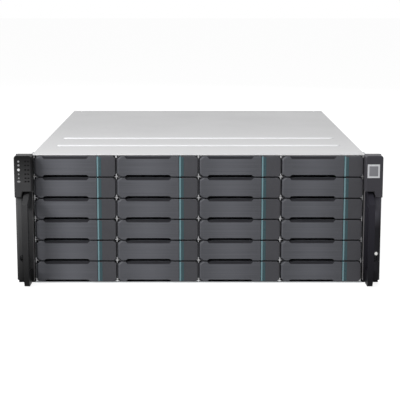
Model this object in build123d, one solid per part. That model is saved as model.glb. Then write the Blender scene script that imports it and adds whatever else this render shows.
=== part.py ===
"""Rack storage array: 24 lever-handled drive trays in a sheet steel chassis, with rear modules.

Millimetres. X runs to the right, Y to the rear, Z up. The origin is the middle of the underside.
"""

from build123d import *

import math
import os

# Sheet metal and general clearances
sheet = 1.2
seat_gap = 0.35
slide_gap = 0.8

# Drive bays
columns = 4
rows = 6
column_pitch = 109.0
row_pitch = 28.45
column_gap = 1.8
row_gap = 1.6
divider_sheet = 1.2
side_clear = 0.2
ledge_thickness = 1.0
ledge_width = 5.0
floor_to_first_ledge = 0.6
stack_to_cover = 0.8

# Chassis
body_depth = 508.0
flange_width = 12.0
side_wall_setback = 8.0
cover_lip = 2.0
rib_length = 392.0
rib_width = 9.0
rib_height = 1.0
rib_places = (77.0, 151.0)

# Drive tray
bezel_reach = 5.0
block_depth = 13.6
front_wall = 1.5
rail_sheet = 1.5
rail_short = 5.7
drive_width = 101.6
drive_length = 147.0
drive_height = 26.1
drive_side_gap = 0.2
drive_base_height = 20.0
drive_lid_inset = 3.0
end_block_width = 22.2
end_block_cut = 3.0
strip_width = 2.4
strip_setback = 0.3

# Tray lever
lever_depth = 11.5
lever_plate = 2.4
lever_rim = 1.8
lever_end_gap = 0.4
lever_row_inset = 0.1
lever_end_draft = 1.0
knuckle_radius = 2.6
knuckle_height = 9.6
knuckle_gap = 0.4
lever_skin = 0.9
pin_radius = 1.25
pin_clearance = 0.05
arm_width = 3.0
hinge_lump = 9.5
corner_cut_width = 4.2
corner_cut_height = 3.4
scoop_start = 13.4
scoop_end = 69.4
scoop_height = 2.9
scoop_depth = 3.0
scoop_slope = 2.4
notch_height = 2.1
lever_rib = 1.2
lever_rib_depth = 7.0

# Midplane and sockets
board_thickness = 3.2
socket_depth = 8.0
socket_width = 44.0
socket_height = 6.4
socket_gap = 0.4
board_window_width = 30.0
board_window_height = 30.0
board_margin = 2.0
rear_header_depth = 12.0
rear_header_width = 60.0
rear_header_height = 12.0

# Rack ears
ear_width = 21.9
ear_hole_inset = 8.75
rack_hole_rise = 101.6
rack_hole_low = 37.3
rack_slot_length = 10.0
rack_slot_width = 6.8
ear_sheet = 2.0
ear_leg = 62.0
ear_bottom = 0.5
ear_top_over = 0.5
housing_reach = 20.0
housing_wall = 2.0
housing_overlap = 0.8
housing_low_outer = 120.0
housing_low_inner = 127.5
housing_corner = 3.5
cover_reach = 15.0
cover_bottom = 7.5
cover_step = 11.0
cover_round = 4.0
base_reach = 10.0
base_bottom = 5.3
handle_reach = 34.0
handle_width = 7.2
handle_inset = 3.2
handle_bar = 8.0
handle_bottom = 2.2
handle_slope = 14.0
handle_foot = 20.0
access_radius = 3.8

# Rear modules
header_room = 25.45
module_wall = 1.2
face_plate = 2.0
face_gap = 1.0
opening_gap = 0.6
roof_gap = 0.6
shelf_setback = 6.0
pull_width = 60.0
pull_reach = 26.0
pull_bar = 6.0
pull_height = 8.0
pull_drop = 13.0
port_width = 14.0
port_height = 11.0
port_depth = 16.0
port_pitch = 23.0
port_count = 5
port_block_margin = 3.0
port_from_edge = 16.0
port_rise = 16.0
vent_width = 5.0
vent_height = 22.0
vent_pitch = 12.0
vent_count = 9
vent_drop = 18.0
board_rise = 6.0
circuit_board = 1.6
plug_width = 58.0
plug_depth = 10.0

# Power supply fan and inlet
fan_frame = 78.0
fan_depth = 26.0
fan_duct = 36.6
fan_tip_gap = 0.8
fan_hub = 15.0
fan_boss = 12.0
fan_boss_depth = 3.0
fan_pin = 2.0
fan_pin_clearance = 0.05
fan_hub_length = 15.0
fan_blades = 7
blade_thickness = 1.4
blade_chord = 17.0
blade_pitch = 38.0
strut_width = 5.0
grille_slot = 6.0
grille_pitch = 9.6
grille_margin = 1.6
inlet_width = 27.0
inlet_height = 19.0
inlet_corner = 5.0
inlet_depth = 15.0
inlet_wall = 2.0
inlet_rise = 26.0
fan_from_edge = 52.0

# Places that follow from the sizes above
body_half = columns * column_pitch / 2 + side_clear + sheet
ear_outer = body_half + ear_width
ear_hole_x = ear_outer - ear_hole_inset
inner_half = body_half - sheet
stack_z = sheet + floor_to_first_ledge + ledge_thickness / 2
body_height = stack_z + rows * row_pitch + stack_to_cover + sheet
front_y = -body_depth / 2
rear_y = body_depth / 2
bezel_y = front_y - bezel_reach
cover_z = body_height - sheet
bezel_width = column_pitch - column_gap
bezel_height = row_pitch - row_gap
carrier_width = drive_width + 2 * (drive_side_gap + rail_sheet)
carrier_edge = (bezel_width - carrier_width) / 2
rail_low = (ledge_thickness - row_gap) / 2 + seat_gap
rail_high = row_pitch - (ledge_thickness + row_gap) / 2 - seat_gap
drive_y = block_depth + front_wall + drive_side_gap
rail_end = drive_y + drive_length - rail_short
hinge_x = lever_end_gap + knuckle_radius + knuckle_gap + lever_skin
hinge_y = knuckle_radius + knuckle_gap + lever_skin
strip_x = bezel_width - end_block_width - strip_width
board_y = bezel_y + drive_y + drive_length + socket_gap + socket_depth
board_back = board_y + board_thickness
cage_y = front_y + sheet + seat_gap
module_y = board_back + header_room
module_width = inner_half - divider_sheet / 2 - 2 * slide_gap
shelf_z = (sheet + cover_z - sheet) / 2
lower_module_z = sheet + seat_gap
module_height = shelf_z - sheet / 2 - roof_gap - lower_module_z
upper_module_z = shelf_z + sheet / 2 + seat_gap
module_x = (inner_half + divider_sheet / 2) / 2


def block(x, y, z):
    """A rectangular block between three pairs of limits."""
    size = [high - low for low, high in (x, y, z)]
    centre = [(high + low) / 2 for low, high in (x, y, z)]
    return Pos(*centre) * Box(*size)


def front_outline(points, y):
    """An outline drawn as seen from the front, in X and Z, given a depth in Y."""
    face = Pos(0, y[0], 0) * (Plane.XZ * Polygon(*points, align=None))
    return extrude(face, y[1] - y[0], dir=(0, 1, 0))


def side_outline(points, x):
    """An outline drawn as seen from the side, in Y and Z, given a width in X."""
    face = Pos(x[0], 0, 0) * (Plane.YZ * Polygon(*points, align=None))
    return extrude(face, x[1] - x[0], dir=(1, 0, 0))


def eight_sided(radius, place, z):
    """An upright bar with eight sides and two of them square to the front."""
    section = Pos(*place) * RegularPolygon(radius, 8, rotation=22.5)
    return Pos(0, 0, z[0]) * extrude(section, z[1] - z[0])


def across_flats(half):
    """The corner radius of an eight-sided bar whose flats lie this far from its axis."""
    return half / math.cos(math.pi / 8)


def lying(radius, place, y):
    """A round bar that lies along Y, at a place in X and Z."""
    bar = Rot(90, 0, 0) * Cylinder(radius, y[1] - y[0])
    return Pos(place[0], (y[0] + y[1]) / 2, place[1]) * bar


def export(name, solids):
    """Writes the separate solids of one node."""
    export_step(Compound(children=list(solids)), os.path.join("parts", name + ".step"))


def bay_corner(row, column):
    """The lower left front corner of a tray's face, with row 0 on top."""
    x = column_pitch * (column - columns / 2) + column_gap / 2
    z = stack_z + row_pitch * (rows - 1 - row) + row_gap / 2
    return x, bezel_y, z


# Chassis


def chassis_tub():
    """Floor, side walls, top flanges, rear frame and the seats of the midplane, bent from one sheet."""
    tub = block((-body_half, body_half), (front_y, rear_y), (0, sheet))
    wall_y = (front_y + side_wall_setback, rear_y)
    for side in (-1, 1):
        outer, inner = sorted((side * body_half, side * inner_half))
        tub += block((outer, inner), wall_y, (0, cover_z))
        edge = sorted((side * body_half, side * (body_half - flange_width)))
        tub += block(edge, (board_back, rear_y), (cover_z - sheet, cover_z))
        tub += block(edge, (board_back, board_back + sheet), (0, cover_z))
    rear = block((-body_half, body_half), (rear_y - sheet, rear_y), (0, cover_z))
    for x, z in module_places():
        rear -= block(
            (x - module_width / 2 - opening_gap, x + module_width / 2 + opening_gap),
            (rear_y - 2 * sheet, rear_y + sheet),
            (z - seat_gap, z + module_height + opening_gap),
        )
    return [tub + rear, rear_shelf()]


def rear_shelf():
    """The shelf and centre wall that part the four rear modules."""
    y = (module_y + shelf_setback, rear_y - sheet)
    shelf = block((-inner_half, inner_half), y, (shelf_z - sheet / 2, shelf_z + sheet / 2))
    wall = block((-divider_sheet / 2, divider_sheet / 2), y, (sheet, cover_z - sheet))
    return shelf + wall


def module_places():
    """Centre in X and underside in Z of the rear modules: two above, then two below."""
    return [(side * module_x, z) for z in (upper_module_z, lower_module_z) for side in (-1, 1)]


def top_cover():
    """The lid, with a turned-down front and rear lip and two pressed ribs."""
    lid = block((-body_half, body_half), (front_y, rear_y), (cover_z, body_height))
    lid += block((-body_half, body_half), (front_y, front_y + sheet), (body_height - cover_lip, cover_z))
    for place in rib_places:
        rib = Rectangle(rib_length, rib_width)
        rib = chamfer(rib.vertices(), rib_width / 3)
        lid += Pos(0, front_y + place, body_height) * extrude(rib, rib_height, taper=30)
    return [lid]


def comb(sides, half):
    """The end view of a bay wall: a plate with a ledge for each row on the stated sides."""
    plate = Pos(0, (sheet + cover_z) / 2) * Rectangle(2 * half, cover_z - sheet)
    for row in range(rows):
        for side in sides:
            place = Pos(side * (half + ledge_width / 2), stack_z + row * row_pitch)
            plate += place * Rectangle(ledge_width, ledge_thickness)
    return plate


def drive_cage():
    """Three dividers and two side plates, each with its ledges, from the front edge to the midplane."""
    depth = board_y - cage_y
    solids = []
    for number in range(columns + 1):
        sides, half, x = (-1, 1), divider_sheet / 2, column_pitch * (number - columns / 2)
        if number in (0, columns):
            inward = 1 if number == 0 else -1
            half = (side_clear + divider_sheet / 2) / 2
            sides, x = (inward,), -inward * (inner_half - half)
        section = Pos(x, board_y, 0) * (Plane.XZ * comb(sides, half))
        solids.append(extrude(section, depth))
    return solids


def midplane():
    """The upright circuit board, its drive sockets and the headers of the rear modules."""
    half = inner_half - board_margin
    y = (board_y, board_y + board_thickness)
    board = block((-half, half), y, (sheet + seat_gap, cover_z - seat_gap))
    sockets = []
    for row in range(rows):
        for column in range(columns):
            x, _, z = bay_corner(row, column)
            middle = z + bezel_height / 2
            left = x + carrier_edge + rail_sheet + ledge_width
            if row % 2:
                window_x = left + socket_width + ledge_width
                board -= block(
                    (window_x, window_x + board_window_width),
                    (y[0] - 1, y[1] + 1),
                    (middle, middle + board_window_height),
                )
            low = z + rail_low + 2 * seat_gap
            sockets.append(
                block((left, left + socket_width), (board_y - socket_depth, board_y), (low, low + socket_height))
            )
    for x, z in module_places():
        low = z + board_rise + circuit_board
        sockets.append(
            block(
                (x - rear_header_width / 2, x + rear_header_width / 2),
                (y[1], y[1] + rear_header_depth),
                (low, low + rear_header_height),
            )
        )
    return [board] + sockets


# Drive trays, drawn at the lower left front corner of their face


def carrier():
    """The tray frame: front wall, two side rails and the eight-sided hinge knuckle on its arm."""
    left, right = carrier_edge, carrier_edge + carrier_width
    wall_y = (block_depth, block_depth + front_wall)
    frame = block((left, right), wall_y, (rail_low, rail_high))
    for x in (left, right - rail_sheet):
        frame += block((x, x + rail_sheet), (wall_y[0], rail_end), (rail_low, rail_high))
    middle = bezel_height / 2
    low, high = middle - knuckle_height / 2, middle + knuckle_height / 2
    arm_x = (hinge_x - arm_width / 2, hinge_x + arm_width / 2)
    knuckle = block(arm_x, (hinge_y, block_depth), (low, high))
    knuckle += eight_sided(knuckle_radius, (hinge_x, hinge_y), (low, high))
    knuckle -= eight_sided(across_flats(pin_radius + pin_clearance), (hinge_x, hinge_y), (low - 1, high + 1))
    return frame + knuckle


def end_block():
    """The fixed block at the tray's right end, with cut corners."""
    left, cut = bezel_width - end_block_width, end_block_cut
    points = [
        (left, 0),
        (bezel_width - cut, 0),
        (bezel_width, cut),
        (bezel_width, bezel_height - cut),
        (bezel_width - cut, bezel_height),
        (left, bezel_height),
    ]
    return front_outline(points, (0, block_depth))


def release_strip():
    """The narrow coloured strip between the lever and the end block."""
    z = (lever_row_inset, bezel_height - lever_row_inset)
    return block((strip_x, strip_x + strip_width), (strip_setback, block_depth), z)


def disk_drive():
    """The drive in the tray: a cast base with a smaller raised lid."""
    left = carrier_edge + rail_sheet + drive_side_gap
    low = (rail_low + rail_high - drive_height) / 2
    x, y = (left, left + drive_width), (drive_y, drive_y + drive_length)
    drive = block(x, y, (low, low + drive_base_height))
    inset = drive_lid_inset
    lid = (low + drive_base_height, low + drive_height)
    return drive + block((x[0] + inset, x[1] - inset), (y[0] + inset, y[1] - inset), lid)


def drive_tray():
    """All solids of one tray."""
    return [carrier(), end_block(), release_strip(), disk_drive()]


def lever():
    """The pull lever: a hollow flap with a finger scoop, a notch below and a flatted pin in its left end."""
    low, high = lever_row_inset, bezel_height - lever_row_inset
    left = hinge_x - hinge_y
    right = strip_x - lever_end_gap
    points = [
        (left, low + corner_cut_height),
        (left + corner_cut_width, low),
        (scoop_start - scoop_slope, low),
        (scoop_start, low + notch_height),
        (scoop_end, low + notch_height),
        (scoop_end + scoop_slope, low),
        (right, low),
        (right, high),
        (left + corner_cut_width, high),
        (left, high - corner_cut_height),
    ]
    flap = front_outline(points, (0, lever_depth))
    plan = Polygon(
        (left, 0),
        (right, 0),
        (right - lever_end_draft, lever_depth),
        (hinge_lump, lever_depth),
        (left, hinge_y),
        align=None,
    )
    corner = Pos(left, 0) * Rectangle(hinge_y, hinge_y, align=Align.MIN)
    plan = plan - (corner - Pos(hinge_x, hinge_y) * Circle(hinge_y))
    flap = flap & extrude(plan, bezel_height)
    flap -= lever_hollow(low + lever_rim, high - lever_rim, right)
    flap -= scoop(high)
    middle = bezel_height / 2
    reach = knuckle_height / 2 + knuckle_gap
    return flap + eight_sided(pin_radius, (hinge_x, hinge_y), (middle - reach, middle + reach))


def lever_hollow(low, high, right):
    """The space behind the lever's plate, each side of its rib, and the room for the knuckle and its arm."""
    middle = bezel_height / 2
    end = right - lever_end_draft - lever_rim
    hollow = block((hinge_lump, end), (lever_plate, lever_depth + 1), (low, high))
    x = (hinge_lump + end - lever_rib) / 2
    hollow -= block((x, x + lever_rib), (0, lever_rib_depth), (low - 1, high + 1))
    z = (middle - knuckle_height / 2 - knuckle_gap, middle + knuckle_height / 2 + knuckle_gap)
    hollow += block((-1, hinge_lump + 1), (hinge_y, lever_depth + 1), z)
    hollow += block((hinge_x, hinge_lump + 1), (lever_plate, lever_depth + 1), z)
    return hollow + eight_sided(across_flats(knuckle_radius + knuckle_gap), (hinge_x, hinge_y), z)


def scoop(high):
    """The sloped cut in the lever's top edge, with sloped ends."""
    bevel = side_outline(
        [(-1, high - scoop_height * (1 + 1 / scoop_depth)), (scoop_depth, high), (scoop_depth, high + 1), (-1, high + 1)],
        (0, bezel_width),
    )
    floor = high - scoop_height
    ends = front_outline(
        [
            (scoop_start - scoop_slope, high + 1),
            (scoop_start - scoop_slope, high),
            (scoop_start, floor),
            (scoop_end, floor),
            (scoop_end + scoop_slope, high),
            (scoop_end + scoop_slope, high + 1),
        ],
        (-1, scoop_depth),
    )
    return bevel & ends


# Rack ears, drawn on the right and mirrored for the left


def ear_bracket():
    """The steel angle that carries the ear: a leg on the side wall and a flange with two rack slots."""
    z = (ear_bottom, body_height)
    y = (front_y, front_y + ear_sheet)
    bracket = block((body_half, ear_outer), y, z)
    bracket += block((body_half, body_half + ear_sheet), (front_y, front_y + ear_leg), z)
    slot = Plane.XZ * SlotOverall(rack_slot_length, rack_slot_width)
    for rise in (0, rack_hole_rise):
        place = Pos(ear_hole_x, y[1] + 1, rack_hole_low + rise)
        bracket -= place * extrude(slot, ear_sheet + 2)
    return bracket


def display_housing():
    """The hollow block at the top of the ear, with rounded upper corners and a step in its lower edge."""
    inner, outer = body_half - housing_overlap, ear_outer
    top = body_height + ear_top_over
    step = outer - cover_step
    points = [
        (inner, housing_low_inner),
        (step + seat_gap, housing_low_inner),
        (step + housing_wall, housing_low_outer),
        (outer, housing_low_outer),
        (outer, top),
        (inner, top),
    ]
    y = (front_y - housing_reach, front_y)
    body = front_outline(points, y)
    upper = body.edges().filter_by(Axis.Y).group_by(Axis.Z)[-1]
    body = fillet(upper, housing_corner)
    front = body.faces().sort_by(Axis.Y)[0].edges()
    body = chamfer(front, 1.0)
    wall = housing_wall
    hollow = block(
        (inner + wall, outer - wall),
        (y[0] + wall, y[1] + 1),
        (housing_low_inner + wall, top - wall),
    )
    return body - hollow


def ear_cover():
    """The lower cover with its rounded outer strip, the screw well and the pull handle in one moulding."""
    outer = ear_outer
    step = outer - cover_step
    top = housing_low_outer - seat_gap
    base_top = housing_low_inner - seat_gap
    strip = block((step, outer), (front_y - cover_reach, front_y), (cover_bottom, top))
    corners = strip.edges().filter_by(Axis.Z).group_by(Axis.Y)[0]
    strip = fillet(corners, cover_round)
    base = block((body_half, step), (front_y - base_reach, front_y), (base_bottom, base_top))
    cover = strip + base + pull_handle()
    place = (ear_hole_x, rack_hole_low)
    return cover - lying(access_radius, place, (front_y - cover_reach - 1, front_y + 1))


def pull_handle():
    """The upright handle: a bar on two sloped feet, with a finger gap behind it."""
    back, front = front_y - base_reach, front_y - handle_reach
    top, bottom = housing_low_inner - seat_gap, handle_bottom
    outline = [
        (back, bottom),
        (front + handle_slope / 2, bottom),
        (front, bottom + handle_slope),
        (front, top - handle_slope),
        (back, top),
    ]
    gap = finger_gap()
    inside = [
        (back + 1, gap[2][0]),
        (gap[1][0], gap[2][0]),
        (gap[1][0], gap[2][1]),
        (back + 1, gap[2][1]),
    ]
    x = (body_half + handle_inset, body_half + handle_inset + handle_width)
    return side_outline(outline, x) - side_outline(inside, (x[0] - 1, x[1] + 1))


def finger_gap():
    """Limits of the space behind the handle, in X, Y and Z."""
    x = (body_half + handle_inset, body_half + handle_inset + handle_width)
    y = (front_y - handle_reach + handle_bar, front_y - base_reach)
    z = (handle_bottom + handle_foot, housing_low_inner - seat_gap - handle_foot)
    return x, y, z


def ear():
    """All solids of the right ear."""
    return [ear_bracket(), display_housing(), ear_cover()]


# Rear modules, drawn with the middle of their underside at the origin and their face at the rear


def canister():
    """The module's sheet box, open at the front, with the face plate that covers its opening."""
    half, wall = module_width / 2, module_wall
    shell = block((-half, half), (module_y, rear_y + seat_gap), (0, module_height))
    shell -= block((-half + wall, half - wall), (module_y - 1, rear_y + 1), (wall, module_height - wall))
    edge = module_x - face_gap / 2
    top = module_height + (upper_module_z - lower_module_z - module_height - face_gap) / 2
    face = block((-edge, edge), face_y(), (-top + module_height, top))
    return shell + chamfer(face.faces().sort_by(Axis.Y)[-1].edges(), face_plate / 3)


def face_y():
    """The face plate's two surfaces."""
    return rear_y + seat_gap, rear_y + seat_gap + face_plate


def pull(x, z):
    """A fixed pull: a bent bar that stands out from the face plate."""
    y = face_y()[1]
    half = pull_width / 2
    outer = Pos(x, y) * Polygon(
        (half, 0),
        (half, pull_reach - pull_bar),
        (half - pull_bar, pull_reach),
        (-half + pull_bar, pull_reach),
        (-half, pull_reach - pull_bar),
        (-half, 0),
        align=None,
    )
    hole = Pos(x, y) * Rectangle(
        pull_width - 2 * pull_bar, pull_reach - pull_bar, align=(Align.CENTER, Align.MIN)
    )
    return Pos(0, 0, z - pull_height / 2) * extrude(outer - hole, pull_height, dir=(0, 0, 1))


def inner_board():
    """The module's circuit board with the plug that meets the midplane's header."""
    half = module_width / 2 - module_wall - seat_gap
    y = (module_y + seat_gap, rear_y - inlet_depth - fan_depth)
    board = block((-half, half), y, (board_rise, board_rise + circuit_board))
    low = board_rise + circuit_board
    front = module_y - header_room + rear_header_depth + socket_gap
    plug = block((-plug_width / 2, plug_width / 2), (front, y[0] + plug_depth), (low, low + rear_header_height))
    post = block((-half, half), (y[0], y[0] + plug_depth), (module_wall, board_rise))
    return [board + post, plug]


def port_x(number):
    """Left edge of a port in the controller's face."""
    return -module_width / 2 + port_from_edge + number * port_pitch


def controller():
    """All solids of a controller: canister, board, plug, port block and pull."""
    box = canister()
    y = face_y()
    ports = block(
        (port_x(0) - port_block_margin, port_x(port_count - 1) + port_width + port_block_margin),
        (y[0] - port_depth, y[0]),
        (port_rise - port_block_margin, port_rise + port_height + port_block_margin),
    )
    for number in range(port_count):
        x = (port_x(number), port_x(number) + port_width)
        z = (port_rise, port_rise + port_height)
        box -= block(x, (y[0] - 1, y[1] + 1), z)
        ports -= block(x, (y[0] - port_depth + module_wall, y[1]), z)
    top = module_height - vent_drop
    for number in range(vent_count):
        x = port_x(0) + number * vent_pitch
        box -= block((x, x + vent_width), (y[0] - 1, y[1] + 1), (top - vent_height, top))
    return [box, ports, pull(pull_place(), module_height - pull_drop)] + inner_board()


def pull_place():
    """Middle of the pull, towards the right of a face plate."""
    return module_width / 2 - pull_width / 2 - port_from_edge / 2


def fan_place():
    """The fan's axis in a power supply, in X and Z."""
    return -module_width / 2 + fan_from_edge, module_height / 2


def power_supply():
    """All solids of a power supply: canister with grille, fan frame, mains inlet, board, plug and pull."""
    box = canister()
    y = face_y()
    x, z = fan_place()
    steps = int((fan_duct - grille_margin) / grille_pitch)
    for number in range(-steps, steps + 1):
        offset = number * grille_pitch
        half = math.sqrt((fan_duct - grille_margin) ** 2 - offset**2)
        slot = (x + offset - grille_slot / 2, x + offset + grille_slot / 2)
        box -= block(slot, (y[0] - 1, y[1] + 1), (z - half, z + half))
    inlet_x = pull_place()
    outline = inlet_outline(0)
    hole = Pos(inlet_x, y[1] + 1, inlet_rise) * extrude(Plane.XZ * outline, face_plate + 2)
    box -= hole
    cup = Pos(inlet_x, y[0], inlet_rise) * extrude(Plane.XZ * inlet_outline(inlet_wall), inlet_depth)
    room = Pos(inlet_x, y[0] + 1, inlet_rise) * extrude(Plane.XZ * outline, inlet_depth - inlet_wall + 1)
    return [box, fan_housing(), cup - room, pull(inlet_x, module_height - pull_drop)] + inner_board()


def inlet_outline(wall):
    """The mains inlet's outline: a rectangle with two cut upper corners, grown by a wall."""
    half, rise, cut = inlet_width / 2 + wall, inlet_height / 2 + wall, inlet_corner
    points = [(-half, -rise), (half, -rise), (half, rise - cut), (half - cut, rise), (cut - half, rise), (-half, rise - cut)]
    return Polygon(*points, align=None)


def fan_y():
    """The fan frame's front and rear surfaces."""
    return face_y()[0] - fan_depth, face_y()[0]


def fan_housing():
    """The square fan frame with its round duct, struts, motor boss and pin."""
    x, z = fan_place()
    y = fan_y()
    half = fan_frame / 2
    frame = block((x - half, x + half), y, (z - half, z + half))
    frame -= lying(fan_duct, (x, z), (y[0] - 1, y[1] + 1))
    boss_y = (y[0], y[0] + fan_boss_depth)
    arm = strut_width / 2
    frame += block((x - half, x + half), boss_y, (z - arm, z + arm))
    frame += block((x - arm, x + arm), boss_y, (z - half, z + half))
    frame += block((x - fan_boss, x + fan_boss), boss_y, (z - fan_boss, z + fan_boss))
    return frame + lying(fan_pin, (x, z), (boss_y[0], rotor_y()[1] - 2 * fan_boss_depth / 3))


def rotor_y():
    """The rotor hub's front and rear ends."""
    front = fan_y()[0] + fan_boss_depth + socket_gap
    return front, front + fan_hub_length


def fan_rotor():
    """The hub with its pitched blades, bored for the pin."""
    x, z = fan_place()
    y = rotor_y()
    middle = (y[0] + y[1]) / 2
    tip = fan_duct - fan_tip_gap
    sweep = blade_chord / 2 * math.cos(math.radians(blade_pitch))
    reach = (fan_hub - 2, math.sqrt(tip**2 - (sweep + blade_thickness) ** 2))
    blade = Box(reach[1] - reach[0], blade_chord, blade_thickness)
    blade = Pos((reach[0] + reach[1]) / 2, 0, 0) * (Rot(blade_pitch, 0, 0) * blade)
    rotor = lying(fan_hub, (0, 0), (-fan_hub_length / 2, fan_hub_length / 2))
    for number in range(fan_blades):
        rotor += Rot(0, number * 360 / fan_blades, 0) * blade
    rotor = Pos(x, middle, z) * rotor
    return [rotor - lying(fan_pin + fan_pin_clearance, (x, z), (y[0] - 1, y[1] - fan_boss_depth / 3))]


def placed(solids, place):
    """Copies of solids moved to a place."""
    return [Pos(*place) * solid for solid in solids]


def main():
    os.makedirs("parts", exist_ok=True)
    export("chassis_tub", chassis_tub())
    export("top_cover", top_cover())
    export("drive_cage", drive_cage())
    export("midplane", midplane())
    tray, flap = drive_tray(), [lever()]
    for row in range(rows):
        for column in range(columns):
            name = f"r{row + 1}c{column + 1}"
            place = bay_corner(row, column)
            export("drive_tray_" + name, placed(tray, place))
            export("tray_lever_" + name, placed(flap, place))
    right = ear()
    export("right_ear", right)
    export("left_ear", [mirror(solid, about=Plane.YZ) for solid in right])
    modules = (controller(), controller(), power_supply(), power_supply())
    names = ("controller_a", "controller_b", "power_supply_a", "power_supply_b")
    for name, solids, (x, z) in zip(names, modules, module_places()):
        export(name, placed(solids, (x, 0, z)))
    for name, (x, z) in zip(("fan_rotor_a", "fan_rotor_b"), module_places()[2:]):
        export(name, placed(fan_rotor(), (x, 0, z)))


main()
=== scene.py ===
"""Dresses the storage array: moulded levers and trays, folded lid, rack ears and rear modules.

A shape is drawn in millimetres of the part's own frame (X right, Y to the rear, Z up) and scaled
to metres when it becomes a piece. Finishes and the studio are in metres. Every finished object
sits at the origin.
"""

import logging
import math
from dataclasses import dataclass, field
from enum import Enum
from typing import Callable, Iterable, Sequence

import bmesh
import bpy
from mathutils import Matrix, Vector


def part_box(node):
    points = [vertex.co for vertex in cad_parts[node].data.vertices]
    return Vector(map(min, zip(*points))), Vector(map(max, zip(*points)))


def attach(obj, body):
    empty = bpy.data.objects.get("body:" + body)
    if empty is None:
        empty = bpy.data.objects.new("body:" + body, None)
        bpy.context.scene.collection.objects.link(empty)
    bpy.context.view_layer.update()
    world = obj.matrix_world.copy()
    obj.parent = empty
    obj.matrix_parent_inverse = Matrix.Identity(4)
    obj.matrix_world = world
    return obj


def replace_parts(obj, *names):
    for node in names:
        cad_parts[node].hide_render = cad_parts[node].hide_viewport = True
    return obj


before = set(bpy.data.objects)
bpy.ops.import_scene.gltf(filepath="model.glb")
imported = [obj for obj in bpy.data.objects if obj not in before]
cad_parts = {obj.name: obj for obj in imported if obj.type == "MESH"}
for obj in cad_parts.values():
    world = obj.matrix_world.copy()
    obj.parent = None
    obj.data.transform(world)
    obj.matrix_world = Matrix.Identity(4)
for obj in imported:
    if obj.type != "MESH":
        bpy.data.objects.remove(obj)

log = logging.getLogger("storage_array")

Point = tuple[float, float, float]
Flat = tuple[float, float]
Colour = tuple[float, float, float]
Socket = bpy.types.NodeSocket
Sockets = bpy.types.bpy_prop_collection
Vert = bmesh.types.BMVert
Edge = bmesh.types.BMEdge
Face = bmesh.types.BMFace

MM = 0.001
UP = (0.0, 0.0, 1.0)
REAR = (0.0, 1.0, 0.0)
FRONT = (0.0, -1.0, 0.0)

# The bays lie at even pitches, the lowest row a little above the chassis floor
COLUMN_PITCH = 109.0
ROW_PITCH = 28.45
STACK_BASE = 2.3

FLOAT = "NodeSocketFloat"
COLOUR = "NodeSocketColor"
VECTOR = "NodeSocketVector"
MASK = {"Mask": FLOAT}
HEIGHT = {"Height": FLOAT}


def tone(red: int, green: int, blue: int) -> Colour:
    """A linear colour from the three eight-bit values that a screen shows."""
    levels = [value / 255 for value in (red, green, blue)]
    linear = [v / 12.92 if v <= 0.04045 else ((v + 0.055) / 1.055) ** 2.4 for v in levels]
    return linear[0], linear[1], linear[2]


def opaque(colour: Colour, share: float = 1.0) -> tuple[float, ...]:
    """A colour at a share of its strength, at most white, with full opacity."""
    return (*(min(1.0, value * share) for value in colour), 1.0)


class Axis(Enum):
    """The axes, by number."""

    X = 0
    Y = 1
    Z = 2


class Slot(Enum):
    """The record's material slots."""

    STEEL = "steel_sheet"
    BOARD = "board"
    TRAY = "tray"
    LEVER = "lever"
    EAR = "ear"
    MODULE = "module"


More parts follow.
